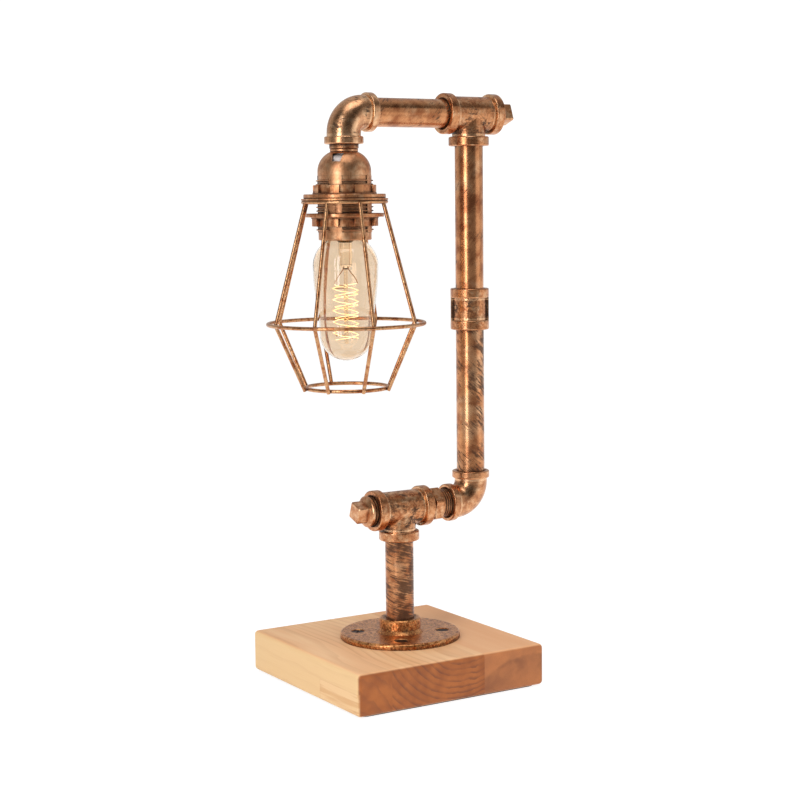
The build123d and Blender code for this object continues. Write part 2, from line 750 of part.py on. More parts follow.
def cage_wires():
    """Eight bent wires: out from the top ring, in again past the outside of the bottom ring."""
    top = (cage_ring_r, 0, cage_ring_z)
    bend = (cage_mid_r - 2 * wire_r - weld_gap, 0, cage_mid_z)
    lean = math.atan2(bend[0] - cage_bottom_r, cage_mid_z - cage_bottom_z)
    beside = 2 * wire_r + weld_gap
    end = wire_r / 3
    foot = (cage_bottom_r + beside * math.cos(lean) - end * math.sin(lean), 0,
            cage_bottom_z - beside * math.sin(lean) - end * math.cos(lean))
    wire = Pos(*bend) * Sphere(wire_r) + wire_run(bend, top) + wire_run(bend, foot)
    wire -= torus_ring(cage_ring_r, cage_ring_z)
    wire -= torus_ring(cage_bottom_r, cage_bottom_z)
    wires = []
    for i in range(cage_wire_count):
        wires.append(LAMP * Rot(0, 0, cage_wire_turn + i * 360 / cage_wire_count) * wire)
    return wires


def cage_top_ring():
    return LAMP * torus_ring(cage_ring_r, cage_ring_z)


def cage_mid_ring():
    return LAMP * torus_ring(cage_mid_r, cage_mid_z)


def cage_bottom_ring():
    return LAMP * torus_ring(cage_bottom_r, cage_bottom_z)


# ---------------------------------------------------------------- bulb
def bulb_face(offset):
    """Half outline of the glass, moved inwards by the offset, as a face."""
    rim = skirt_bottom
    r = bulb_r - offset
    neck = bulb_neck_r - offset
    tip = bulb_bottom + offset
    neck_top = bulb_cap_bottom + bulb_cap_length / 2 + (1 if offset else 0)
    end_r = bulb_r - bulb_end_inset - offset
    widest = (r, 0, rim - bulb_widest_drop)
    end = (end_r, 0, tip + end_r)
    outline = Line((0, 0, neck_top), (neck, 0, neck_top))
    outline += Line((neck, 0, neck_top), (neck, 0, rim))
    shoulder = (r - bulb_shoulder_inset, 0, rim - bulb_shoulder_drop)
    outline += ThreePointArc((neck, 0, rim), shoulder, widest)
    outline += Spline(widest, end, tangents=[(0, 0, -1), (0, 0, -1)])
    outline += TangentArc(end, (0, 0, tip), tangent=(0, 0, -1))
    outline += Line((0, 0, tip), (0, 0, neck_top))
    return make_face(outline)


def bulb_glass():
    glass = revolve(bulb_face(0), Axis.Z) - revolve(bulb_face(bulb_glass_wall), Axis.Z)
    return LAMP * glass


def bulb_cap():
    """Rolled screw cap."""
    z0, z1 = bulb_cap_bottom, bulb_cap_top
    crest, root = bulb_cap_r, bulb_cap_r - bulb_cap_wave
    outer = [(crest - 0.2, z0), (crest - 0.2, z0 + 3)]
    z = z0 + 3
    while z + shell_pitch < z1 - 3:
        outer += [(root, z + shell_pitch * 0.3), (root, z + shell_pitch * 0.5),
                  (crest, z + shell_pitch * 0.8), (crest, z + shell_pitch)]
        z += shell_pitch
    outer += [(root, z1 - 1.5), (bulb_seal_r + 1, z1), (bulb_seal_r, z1)]
    inner = [(bulb_seal_r, z1 - 0.6), (bulb_cap_inner_r, z1 - 2.5), (bulb_cap_inner_r, z0)]
    return LAMP * turned(*outer, *inner)


def bulb_seal():
    """Black glass insulator between the cap and its tip."""
    z1 = bulb_cap_top
    return LAMP * turned((0, z1 - 0.4), (bulb_seal_r - 0.05, z1 - 0.4), (bulb_seal_r - 0.05, z1),
                         (bulb_tip_r, z1 + bulb_seal_height), (0, z1 + bulb_seal_height))


def bulb_tip():
    z0 = bulb_cap_top + bulb_seal_height
    tip = disc(bulb_tip_r, z0, bulb_tip_z)
    return LAMP * fillet(tip.edges().filter_by(GeomType.CIRCLE).sort_by(Axis.Z)[-1], 0.9)


def biarc(p0, t0, p1, t1):
    """Two arcs that meet smoothly, between two points with given directions."""
    v = p1 - p0
    t = t0 + t1
    k = 2 * (1 - t0.dot(t1))
    d = (-v.dot(t) + math.sqrt(v.dot(t) ** 2 + k * v.dot(v))) / k
    meet = (p0 + p1 + (t0 - t1) * d) / 2
    first = TangentArc(p0, meet, tangent=t0)
    second = TangentArc(meet, p1, tangent=first % 1)
    return [first, second]


def coil_path(radius, pitch, turns, z_top):
    """Helix downwards about Z, as biarcs of a quarter turn."""
    slope = pitch / (2 * math.pi * radius)

    def at(quarter):
        a = quarter * math.pi / 2
        point = Vector(radius * math.cos(a), radius * math.sin(a), z_top - pitch * quarter / 4)
        tangent = Vector(-math.sin(a), math.cos(a), -slope).normalized()
        return point, tangent

    arcs = []
    for quarter in range(4 * turns):
        arcs += biarc(*at(quarter), *at(quarter + 1))
    return Wire(arcs)


def least_gap(path, turns, wire):
    """Least free space between one turn of a coil and the next, measured on points."""
    steps = 24 * turns
    points = [path @ (i / steps) for i in range(steps + 1)]
    return min((points[i] - points[j]).length - 2 * wire
               for i in range(steps + 1) for j in range(i + 12, steps + 1))


def bulb_filament():
    """Spiral filament hung round the glass rod."""
    path = coil_path(filament_r, filament_pitch, filament_turns, filament_top)
    print("filament: least gap between turns", round(least_gap(path, filament_turns, filament_wire_r), 2))
    start = Plane(path @ 0, z_dir=path % 0)
    return LAMP * sweep(start * Circle(filament_wire_r), path)


def glass_stem():
    """Flared stem with a rod that runs down the middle of the filament."""
    z0 = skirt_bottom + 4
    z1 = skirt_bottom - glass_stem_drop
    z2 = filament_foot - glass_rod_tail
    return LAMP * turned((0, z0), (bulb_neck_r - bulb_glass_wall - 0.05, z0), (glass_stem_r, z0 - 6),
                         (glass_stem_r, z1 + 3), (glass_rod_r, z1), (glass_rod_r, z2), (0, z2))


def filament_supports():
    """Thin supports from the rod to the first and last turn."""
    reach = filament_r - filament_wire_r - support_gap - glass_rod_r
    bar = along_x(Cylinder(support_wire_r, reach))
    quarter = filament_pitch / 4
    places = [(filament_top - quarter, 90), (filament_top - 2 * quarter, 180),
              (filament_foot + quarter, 270), (filament_foot + 2 * quarter, 180)]
    return [LAMP * Pos(0, 0, z) * facing_centre(glass_rod_r + reach / 2, angle) * bar
            for z, angle in places]


# ---------------------------------------------------------------- inner lead
def lead(points, bend_r=lead_bend_r):
    """Round lead along straight runs and bends."""
    path = FilletPolyline(*points, radius=[bend_r] * (len(points) - 2))
    start = Plane(path @ 0, z_dir=path % 0)
    return sweep(start * Circle(lead_r), path)


def base_lead():
    """From the gland, up the stem and along to the middle of the coupling."""
    gland_x = base_side / 2 - gland_body_length
    return lead([(gland_x, 0, gland_z), (stem_x, 0, gland_z), (stem_x, 0, foot_run_z),
                 (post_x, 0, foot_run_z), (post_x, 0, coupling_mid)])


def arm_lead():
    """From the middle of the coupling to the arm pipe's free end."""
    x_end = lamp_x + elbow_reach - thread_depth
    return lead([(post_x, 0, coupling_mid), (post_x, 0, arm_z), (x_end, 0, arm_z)])


def head_lead():
    """Round the upper elbow and down through the neck into the holder."""
    x_end = lamp_x + elbow_reach - thread_depth
    points = [(x_end, 0, arm_z), (lamp_x, 0, arm_z), (lamp_x, 0, lead_end_z)]
    return lead(points, 0.95 * (x_end - lamp_x))


def conductors():
    """The lead's two cores, spread to the terminal screws."""
    z_screw = core_top + 2.0
    pieces = []
    for side in (-1, 1):
        y0 = side * (conductor_r + 0.15)
        y1 = side * (terminal_spread - 0.5)
        drop = lead_end_z - z_screw
        path = FilletPolyline((lamp_x, y0, lead_end_z), (lamp_x, y0, lead_end_z - drop * 0.3),
                              (lamp_x, y1, z_screw + drop * 0.3), (lamp_x, y1, z_screw),
                              radius=[1.6, 1.6])
        start = Plane(path @ 0, z_dir=path % 0)
        pieces.append(sweep(start * Circle(conductor_r), path))
    return pieces


# ---------------------------------------------------------------- every node
def all_nodes():
    left, middle, right = staves()
    tee_shape = tee()
    elbow_shape = elbow()
    flip = Rot(0, 180, 0)
    return {
        "base_stave_left": left,
        "base_stave_middle": middle,
        "base_stave_right": right,
        "base_felt": felt_pad(),
        "cord_gland": gland_body(),
        "cord_gland_nut": gland_nut(),
        "floor_flange": floor_flange(),
        "flange_screws": flange_screws(),
        "stem_nipple": STEM * standing_pipe(hub_top, foot_run_z - tee_reach),
        "lower_tee": Pos(stem_x, 0, foot_run_z) * tee_shape,
        "lower_plug": Pos(stem_x - tee_reach, 0, foot_run_z) * Rot(0, -90, 0) * square_plug(
            lower_plug_stand),
        "hex_nipple": hex_nipple(),
        "lower_elbow": Pos(post_x, 0, foot_run_z) * flip * elbow_shape,
        "lower_post_pipe": POST * standing_pipe(foot_run_z + elbow_reach, coupling_z),
        "post_coupling": post_coupling(),
        "upper_post_pipe": POST * standing_pipe(coupling_top, arm_z - tee_reach),
        "upper_tee": Pos(post_x, 0, arm_z) * tee_shape,
        "upper_plug": Pos(post_x + tee_reach, 0, arm_z) * along_x(square_plug(upper_plug_stand)),
        "arm_pipe": arm_pipe(),
        "upper_elbow": Pos(lamp_x, 0, arm_z) * elbow_shape,
        "holder_neck": holder_neck(),
        "neck_ring": neck_ring(),
        "holder_cap": holder_cap(),
        "cord_grip": cord_grip(),
        "grip_screw": grip_screw(),
        "holder_skirt": holder_skirt(),
        "holder_core": holder_core(),
        "screw_shell": screw_shell(),
        "centre_contact": centre_contact(),
        "terminal_screws": terminal_screws(),
        "upper_shade_ring": upper_shade_ring(),
        "lower_shade_ring": lower_shade_ring(),
        "cage_plate": cage_plate(),
        "cage_top_ring": cage_top_ring(),
        "cage_wires": cage_wires(),
        "cage_mid_ring": cage_mid_ring(),
        "cage_bottom_ring": cage_bottom_ring(),
        "bulb_cap": bulb_cap(),
        "bulb_seal": bulb_seal(),
        "bulb_tip": bulb_tip(),
        "bulb_glass": bulb_glass(),
        "bulb_stem": glass_stem(),
        "bulb_filament": bulb_filament(),
        "filament_supports": filament_supports(),
        "base_lead": base_lead(),
        "arm_lead": arm_lead(),
        "head_lead": head_lead(),
        "holder_conductors": conductors(),
    }


def write_parts():
    os.makedirs("parts", exist_ok=True)
    for name, shape in all_nodes().items():
        if isinstance(shape, list):
            solids = [s for piece in shape for s in piece.solids()]
        else:
            solids = shape.solids()
        whole = solids[0] if len(solids) == 1 else Compound(children=solids)
        export_step(whole, f"parts/{name}.step")


write_parts()
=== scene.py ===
import math

import bpy
from mathutils import Matrix, Vector


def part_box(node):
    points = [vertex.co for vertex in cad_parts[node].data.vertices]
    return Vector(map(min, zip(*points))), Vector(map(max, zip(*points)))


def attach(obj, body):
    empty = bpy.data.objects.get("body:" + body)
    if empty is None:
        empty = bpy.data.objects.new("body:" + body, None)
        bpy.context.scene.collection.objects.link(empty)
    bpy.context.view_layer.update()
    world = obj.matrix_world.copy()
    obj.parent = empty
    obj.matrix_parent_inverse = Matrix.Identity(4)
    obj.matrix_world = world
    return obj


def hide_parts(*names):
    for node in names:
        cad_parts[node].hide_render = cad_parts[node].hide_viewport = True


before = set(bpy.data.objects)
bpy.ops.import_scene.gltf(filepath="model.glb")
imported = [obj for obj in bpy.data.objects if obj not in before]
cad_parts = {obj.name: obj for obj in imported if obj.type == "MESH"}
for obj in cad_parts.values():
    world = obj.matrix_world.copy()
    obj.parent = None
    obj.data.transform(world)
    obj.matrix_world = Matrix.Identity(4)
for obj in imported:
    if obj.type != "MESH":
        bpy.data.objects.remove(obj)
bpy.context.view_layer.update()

# ------------------------------------------------------------------ units and the picture
MM = 0.001                   # metres in a millimetre
PER_METRE = 1000.0           # millimetres in a metre
IMAGE_SIZE = 800
MIX_SHARE, MIX_A, MIX_B, MIX_COLOUR = 0, 6, 7, 2    # sockets of a Mix node set to colours
CREVICE_SAMPLES = 6
WHITE = (1.0, 1.0, 1.0, 1.0)

# ------------------------------------------------------------------ places shared with the CAD part (mm)
STEM_X = 3.7
POST_X = 65.0
LAMP_X = -37.0
FOOT_RUN_Z = 122.4
ARM_Z = 398.4
COUPLING_Z = 260.8
TEE_REACH = 22.4             # centre to face
TEE_BAND = 6.6
ELBOW_REACH = 21.8
ELBOW_BAND = 5.2
COUPLING_REACH = 14.7
COUPLING_BAND = 6.7
NIPPLE_THREAD_END = 60.0     # past both ends of the nipple: it is thread all the way
LOWER_PLUG_THREAD = 3.4      # thread that shows between tee and plug
UPPER_PLUG_THREAD = 1.0
THREAD_R = 10.2              # anything inside this radius of a nipple is thread
THREAD_PITCH = 1.8

POST_AXIS = (POST_X, 0.0, 0.0)
STEM_AXIS = (STEM_X, 0.0, 0.0)
ARM_AXIS = (0.0, 0.0, ARM_Z)
LOWER_TEE = (STEM_X, 0.0, FOOT_RUN_Z)
UPPER_TEE = (POST_X, 0.0, ARM_Z)
LOWER_ELBOW = (POST_X, 0.0, FOOT_RUN_Z)
UPPER_ELBOW = (LAMP_X, 0.0, ARM_Z)
COUPLING = (POST_X, 0.0, COUPLING_Z)


def srgb(red, green, blue):
    """Colour of 0..255 display values as linear light."""
    def linear(value):
        value /= 255
        return value / 12.92 if value <= 0.04045 else ((value + 0.055) / 1.055) ** 2.4
    return (linear(red), linear(green), linear(blue), 1.0)


# ------------------------------------------------------------------ shader expressions
class Wire:
    """A shader socket that takes part in sums, products and comparisons."""

    def __init__(self, finish, socket):
        self.finish = finish
        self.socket = socket

    def maths(self, operation, *values):
        return self.finish.node("Math", {"operation": operation}, dict(enumerate(values)))

    def __add__(self, other):
        return self.maths("ADD", self, other)

    def __sub__(self, other):
        return self.maths("SUBTRACT", self, other)

    def __rsub__(self, other):
        return self.maths("SUBTRACT", other, self)

    def __mul__(self, other):
        return self.maths("MULTIPLY", self, other)

    def __truediv__(self, other):
        return self.maths("DIVIDE", self, other)

    def __abs__(self):
        return self.maths("ABSOLUTE", self)

    def __gt__(self, other):
        return self.maths("GREATER_THAN", self, other)

    def __lt__(self, other):
        return self.maths("LESS_THAN", self, other)

    __radd__ = __add__
    __rmul__ = __mul__

    def sine(self):
        return self.maths("SINE", self)

    def root(self):
        return self.maths("SQRT", self)

    def fraction(self):
        return self.maths("FRACT", self)

    def least(self, other):
        return self.maths("MINIMUM", self, other)

    def most(self, other):
        return self.maths("MAXIMUM", self, other)

    def rise(self, low, high):
        """Smooth step from 0 at one value to 1 at another."""
        return self.finish.node("MapRange", {"interpolation_type": "SMOOTHSTEP"}, {
            "Value": self, "From Min": low, "From Max": high, "To Min": 0.0, "To Max": 1.0})

    def stretched(self, scale):
        """A vector times another, part by part."""
        return self.finish.node("VectorMath", {"operation": "MULTIPLY"}, {0: self, 1: scale})

    def moved(self, offset):
        """A vector plus another."""
        return self.finish.node("VectorMath", {"operation": "ADD"}, {0: self, 1: offset})


class Finish:
    """A material, or the world's shading, under construction."""

    def __init__(self, owner):
        owner.use_nodes = True
        self.owner = owner
        self.tree = owner.node_tree
        self.tree.nodes.clear()
        self._place = None

    @classmethod
    def of_material(cls, name):
        return cls(bpy.data.materials.new(name))

    def put(self, socket, value):
        if isinstance(value, Wire):
            self.tree.links.new(value.socket, socket)
        else:
            socket.default_value = value

    def node(self, kind, settings=None, values=None, output=0):
        """Any node: its settings first, then the values or links of its sockets."""
        made = self.tree.nodes.new("ShaderNode" + kind)
        for key, value in (settings or {}).items():
            setattr(made, key, value)
        for key, value in (values or {}).items():
            self.put(made.inputs[key], value)
        return Wire(self, made.outputs[output])

    def outputs(self, wire, *keys):
        """Other outputs of the node that a wire comes from."""
        return [Wire(self, wire.socket.node.outputs[key]) for key in keys]

    def parts(self, vector):
        """A vector's x, y and z."""
        return self.outputs(self.node("SeparateXYZ", values={0: vector}), 0, 1, 2)

    def rays(self):
        """1 on camera rays, on glossy rays and on rays through glass."""
        path = self.node("LightPath", output="Is Camera Ray")
        return self.outputs(path, "Is Camera Ray", "Is Glossy Ray", "Is Transmission Ray")

    def place(self):
        """Position in the part's own frame, in millimetres."""
        if self._place is None:
            metres = self.node("TexCoord", output="Object")
            self._place = self.node("VectorMath", {"operation": "SCALE"}, {0: metres, "Scale": PER_METRE})
        return self._place

    def place_from(self, centre):
        """Parts of the position seen from a centre."""
        return self.parts(self.place().moved([-value for value in centre]))

    def facing(self):
        """Parts of the surface's direction in the part's own frame."""
        return self.parts(self.node("TexCoord", output="Normal"))

    def noise(self, vector, size, detail=3.0, roughness=0.55, distortion=0.0):
        """Cloud noise with features of a size in millimetres, 0..1."""
        return self.node("TexNoise", {"noise_dimensions": "3D"}, {
            "Vector": vector, "Scale": 1.0 / size, "Detail": detail, "Roughness": roughness,
            "Distortion": distortion})

    def cells(self, vector, size):
        """Distance to the middle of the nearest of scattered cells of a size in millimetres."""
        return self.node("TexVoronoi", {"feature": "F1"}, {
            "Vector": vector, "Scale": 1.0 / size, "Randomness": 1.0})

    def blend(self, colour_a, colour_b, share):
        """Mix of two colours."""
        return self.node("Mix", {"data_type": "RGBA"},
                         {MIX_SHARE: share, MIX_A: colour_a, MIX_B: colour_b}, MIX_COLOUR)

    def corner_shade(self, reach):
        """0 in the open, towards 1 in corners closer than the reach (mm): ambient occlusion, used to paint
        shade into the colour.
        """
        return 1 - self.node("AmbientOcclusion", {"samples": CREVICE_SAMPLES}, {"Distance": reach * MM}, "AO")

    def bump(self, height, depth, strength):
        """Normal of a height of 0..1 that stands a depth (mm) proud."""
        return self.node("Bump", values={"Height": height, "Distance": depth * MM, "Strength": strength})

    def finished(self, **values):
        """Closes the material with one surface shader."""
        return self.surface(self.node("BsdfPrincipled", values={
            key.replace("_", " "): value for key, value in values.items()}))

    def surface(self, shader, output="Material"):
        end = self.tree.nodes.new("ShaderNodeOutput" + output)
        self.tree.links.new(shader.socket, end.inputs["Surface"])
        return self.owner


# ------------------------------------------------------------------ copper finishes
COPPER_PALE = srgb(242, 194, 150)
COPPER = srgb(216, 150, 102)
COPPER_DEEP = srgb(160, 98, 62)
STAIN = srgb(62, 38, 24)
BLACK_STAIN = srgb(28, 20, 16)
FLANGE_RUBBED = srgb(250, 180, 116)
FLANGE_DEEP = srgb(156, 84, 42)
WIRE_RUBBED = srgb(232, 178, 128)
WIRE_DEEP = srgb(168, 98, 56)
WIRE_STAIN = srgb(92, 50, 32)


def wound_place(f, axis, centre, pitch):
    """Position turned about a pipe's axis as it moves along it, so strokes wind round the pipe."""
    along = f.parts(f.place())["XYZ".index(axis)]
    return f.node("VectorRotate", {"rotation_type": axis + "_AXIS"}, {
        "Vector": f.place(), "Center": centre, "Angle": along * (math.tau / pitch)})


def brushed_copper(name, axis, centre, stain_and_shade_share, pitch, seed, along, across):
    """Pipe: smooth copper rubbed over a dark stain, which is left in dashes between the rubbed strokes;
    painted shade darkens it next to the fittings.

    The strokes' noise is stretched by along and across, and winds round once in a pitch (mm).
    """
    f = Finish.of_material(name)
    here = f.place().moved((seed, seed * 0.7, -seed))
    wound = wound_place(f, axis, centre, pitch)
    lengthwise = (along, across, across) if axis == "X" else (across, across, along)
    dashes = f.noise(wound.stretched(lengthwise).moved((seed, 0, seed)), 1.1, 4.0, 0.7)
    broad = f.noise(wound.stretched(lengthwise).moved((0, seed, 0)), 3.5, 3.0, 0.55)
    patches = f.noise(here, 17.0, 3.0, 0.6, 0.4)
    # the corner term paints shade near the fittings' mouths, mixed into the same dark mask as the stain
    # dashes
    spread = dashes * 0.95 + broad * 0.30 + patches * 0.9 + f.corner_shade(4.0) * 0.25
    stain_and_shade = spread.rise(1.42 - stain_and_shade_share * 0.55, 1.60 - stain_and_shade_share * 0.55)
    tone = f.blend(COPPER_DEEP, COPPER, (dashes * 0.3 + f.noise(here, 9.0) * 0.7).rise(0.36, 0.6))
    tone = f.blend(tone, COPPER_PALE, f.noise(here, 14.0).rise(0.48, 0.72) * 0.6)
    return f.finished(
        Base_Color=f.blend(tone, STAIN, stain_and_shade * 0.85),
        Metallic=1.0 - stain_and_shade * 0.4,
        Roughness=0.23 + dashes * 0.06 + stain_and_shade * 0.12,
        Normal=f.bump(dashes * 0.5 + stain_and_shade * 0.3, 0.05, 0.35),
        Coat_Weight=(1 - stain_and_shade) * 0.12,
        Coat_Roughness=0.3)


def cast_copper(name, centre, reach, band, stain_and_shade_share, pebble, pebble_size, seed, pale=0.0):
    """Malleable fitting: pebbled middle with black stain, smooth rubbed end bands, a rough bright crease, and
    painted shade darkening its crotches and corners.

    Every mouth ends at reach from the centre, and its band is that wide (mm). The coupling has mouths above
    and below, the other fittings to the sides as well.
    """
    f = Finish.of_material(name)
    here = f.place().moved((seed, -seed, seed * 0.6))
    x, _, z = f.place_from(centre)
    outward = abs(z) if centre == COUPLING else abs(x).most(abs(z))
    inner_edge = reach - band
    banded = outward.rise(inner_edge - 0.5, inner_edge + 0.7)
    crease = 1 - abs(outward - inner_edge + 0.7).rise(0.5, 1.5)
    grain = f.noise(here, pebble_size, 4.0, 0.66)
    pits = f.cells(here, pebble_size * 1.15).rise(0.12, 0.6)
    patches = f.noise(here, 10.0, 4.0, 0.66, 0.8)
    streaks = f.noise(here.stretched((0.5, 0.5, 1.6)), 4.5, 4.0, 0.68, 1.2)
    rough = (1 - banded * 0.8) * (0.45 + f.noise(here, 7.0, 2.0).rise(0.35, 0.65) * 0.55)
    # the corner term paints shade into crotches and between bands, mixed into the black stain mask
    spread = (patches * 0.85 + streaks * 0.6 + f.corner_shade(5.0) * 0.75 + (1 - grain) * 0.3 * rough
              - banded * 0.16 - crease * 0.3)
    stain_and_shade = spread.rise(1.20 - stain_and_shade_share * 0.45, 1.38 - stain_and_shade_share * 0.45)
    tone = f.blend(COPPER_DEEP, COPPER, (grain * 0.5 + patches * 0.5).rise(0.38, 0.60))
    rubbed = f.noise(here, 5.0).rise(0.46, 0.72) * 0.75 + crease * 0.6 + pale
    tone = f.blend(tone, COPPER_PALE, rubbed.least(1.0))
    dark = f.blend(STAIN, BLACK_STAIN, f.noise(here, 4.0, 3.0).rise(0.4, 0.62))
    height = (grain * 0.55 + pits * 0.45) * (0.08 + rough * 0.6 + crease * 0.4)
    return f.finished(
        Base_Color=f.blend(tone, dark, stain_and_shade * 0.92),
        Metallic=1.0 - stain_and_shade * 0.4,
        Roughness=0.24 + grain * 0.08 + stain_and_shade * 0.16,
        Normal=f.bump(height, 0.20 * pebble, 0.6),
        Coat_Weight=(1 - stain_and_shade) * 0.14,
        Coat_Roughness=0.26)


def threaded_copper(name, centre, thread_end, seed):
    """Nipple or plug along X: dark thread with rubbed crests, then smooth bright faces."""
    f = Finish.of_material(name)
    here = f.place().moved((seed, seed, -seed))
    x, y, z = f.place_from(centre)
    radius = (y * y + z * z).root()
    thread = (radius < THREAD_R) * (abs(x) < thread_end)
    crest = ((x / THREAD_PITCH).fraction() * math.tau).sine()
    rubbed = crest.rise(0.55, 1.0) * thread
    grain = f.noise(here, 1.4, 3.0, 0.6)
    patches = f.noise(here, 8.0, 4.0, 0.64, 0.8)
    # the corner term paints shade where the thread enters a fitting, mixed into the stain mask
    stain_and_shade = (patches * 0.8 + grain * 0.35 + f.corner_shade(3.0) * 0.55).rise(0.62, 0.92)
    tone = f.blend(COPPER_DEEP, COPPER, (grain * 0.5 + patches * 0.5).rise(0.36, 0.6))
    tone = f.blend(tone, COPPER_PALE, f.noise(here, 5.0).rise(0.42, 0.7) * 0.8)
    tone = f.blend(tone, STAIN, stain_and_shade * 0.7)
    return f.finished(
        Base_Color=f.blend(tone, f.blend(STAIN, COPPER, rubbed), thread * 0.8),
        Metallic=1.0 - stain_and_shade * 0.3,
        Roughness=0.27 + grain * 0.08 + thread * 0.1,
        Normal=f.bump(crest * thread * 0.5 + grain * 0.06, 0.5, 0.6),
        Coat_Weight=0.14,
        Coat_Roughness=0.26)


def satin_copper(name, pebble, stain_and_shade_share, seed, pale=0.0):
    """Lamp holder and rings: satin copper wash with cream patches; grooves and corners dark brown to black,
    partly stain and partly painted shade.
    """
    f = Finish.of_material(name)
    here = f.place().moved((seed, seed, 0))
    clouds = f.noise(here, 8.0, 4.0, 0.64, 0.5)
    fine = f.noise(here.stretched((1.0, 1.0, 0.3)), 0.8, 3.0, 0.6)
    # the corner term paints shade into grooves and corners; it leads the dark mask and picks the blackest
    # tone
    corner = f.corner_shade(3.0)
    spread = corner * 1.25 + clouds * 0.6 + fine * 0.25
    stain_and_shade = spread.rise(0.92 - stain_and_shade_share * 0.5, 1.22 - stain_and_shade_share * 0.5)
    tone = f.blend(COPPER_DEEP, COPPER, (clouds * 0.6 + fine * 0.4).rise(0.38, 0.60))
    tone = f.blend(tone, COPPER_PALE, (f.noise(here, 5.0).rise(0.45, 0.72) * 0.7 + pale).least(1.0))
    dark = f.blend(STAIN, BLACK_STAIN, corner.rise(0.3, 0.7))
    return f.finished(
        Base_Color=f.blend(tone, dark, stain_and_shade * 0.92),
        Metallic=1.0 - stain_and_shade * 0.35,
        Roughness=0.36 + fine * 0.06 + stain_and_shade * 0.12,
        Normal=f.bump(fine, 0.18 * pebble, 0.5),
        Coat_Weight=(1 - stain_and_shade) * 0.14,
        Coat_Roughness=0.28)


def flange_copper(name, seed):
    """Floor flange: pitted casting, mottled brown and black with few rubbed places, with painted shade in its
    corners.
    """
    f = Finish.of_material(name)
    here = f.place().moved((seed, -seed, seed))
    grain = f.noise(here, 1.3, 4.0, 0.68)
    pits = f.cells(here, 1.9).rise(0.1, 0.6)
    mottle = f.noise(here, 4.5, 4.0, 0.7, 1.0)
    patches = f.noise(here, 13.0, 3.0, 0.6)
    # the corner term paints shade in the flange's corners and holes, mixed into the mottled stain
    spread = mottle * 0.75 + patches * 0.5 + (1 - grain) * 0.35 + f.corner_shade(5.0) * 0.6
    stain_and_shade = spread.rise(0.86, 1.08)
    tone = f.blend(FLANGE_DEEP, FLANGE_RUBBED, (grain * 0.5 + mottle * 0.5).rise(0.4, 0.6))
    dark = f.blend(STAIN, BLACK_STAIN, f.noise(here, 3.0, 3.0).rise(0.42, 0.62))
    return f.finished(
        Base_Color=f.blend(tone, dark, stain_and_shade * 0.88),
        Metallic=1.0 - stain_and_shade * 0.4,
        Roughness=0.24 + grain * 0.12 + stain_and_shade * 0.16,
        Normal=f.bump(grain * 0.5 + pits * 0.5, 0.30, 0.8))


def wire_copper(name):
    """Cage: thin copper wash on drawn wire, brown where it was handled, and darker where wires meet, as
    painted shade.
    """
    f = Finish.of_material(name)
    clouds = f.noise(f.place(), 5.0, 4.0, 0.68, 0.6)
    specks = f.noise(f.place(), 1.1, 3.0, 0.62)
    # the corner term paints shade where wires meet the rings and each other, mixed into the handling marks
    stain_and_shade = (clouds * 0.75 + specks * 0.5 + f.corner_shade(2.0) * 0.5).rise(0.60, 0.86)
    tone = f.blend(WIRE_DEEP, WIRE_RUBBED, clouds.rise(0.34, 0.6))
    return f.finished(
        Base_Color=f.blend(tone, WIRE_STAIN, stain_and_shade * 0.85),
        Metallic=1.0 - stain_and_shade * 0.35,
        Roughness=0.2 + specks * 0.2 + stain_and_shade * 0.16,
        Normal=f.bump(specks, 0.14, 0.6),
        Coat_Weight=0.15,
        Coat_Roughness=0.2)


# ------------------------------------------------------------------ wood
TOP_PALE, TOP_WARM, TOP_LINE = srgb(250, 204, 154), srgb(240, 184, 132), srgb(202, 142, 92)
SIDE_PALE = srgb(236, 198, 144)
END_PALE, END_WARM, END_LINE = srgb(184, 104, 44), srgb(158, 85, 33), srgb(116, 64, 36)
HEART_PINK = srgb(232, 164, 112)
PORE = srgb(104, 58, 34)
INSET_PALE, INSET_WARM, INSET_EDGE = srgb(240, 200, 150), srgb(218, 164, 110), srgb(206, 150, 98)
INSET_RIM = 0.6                # mm of glue line round the inset


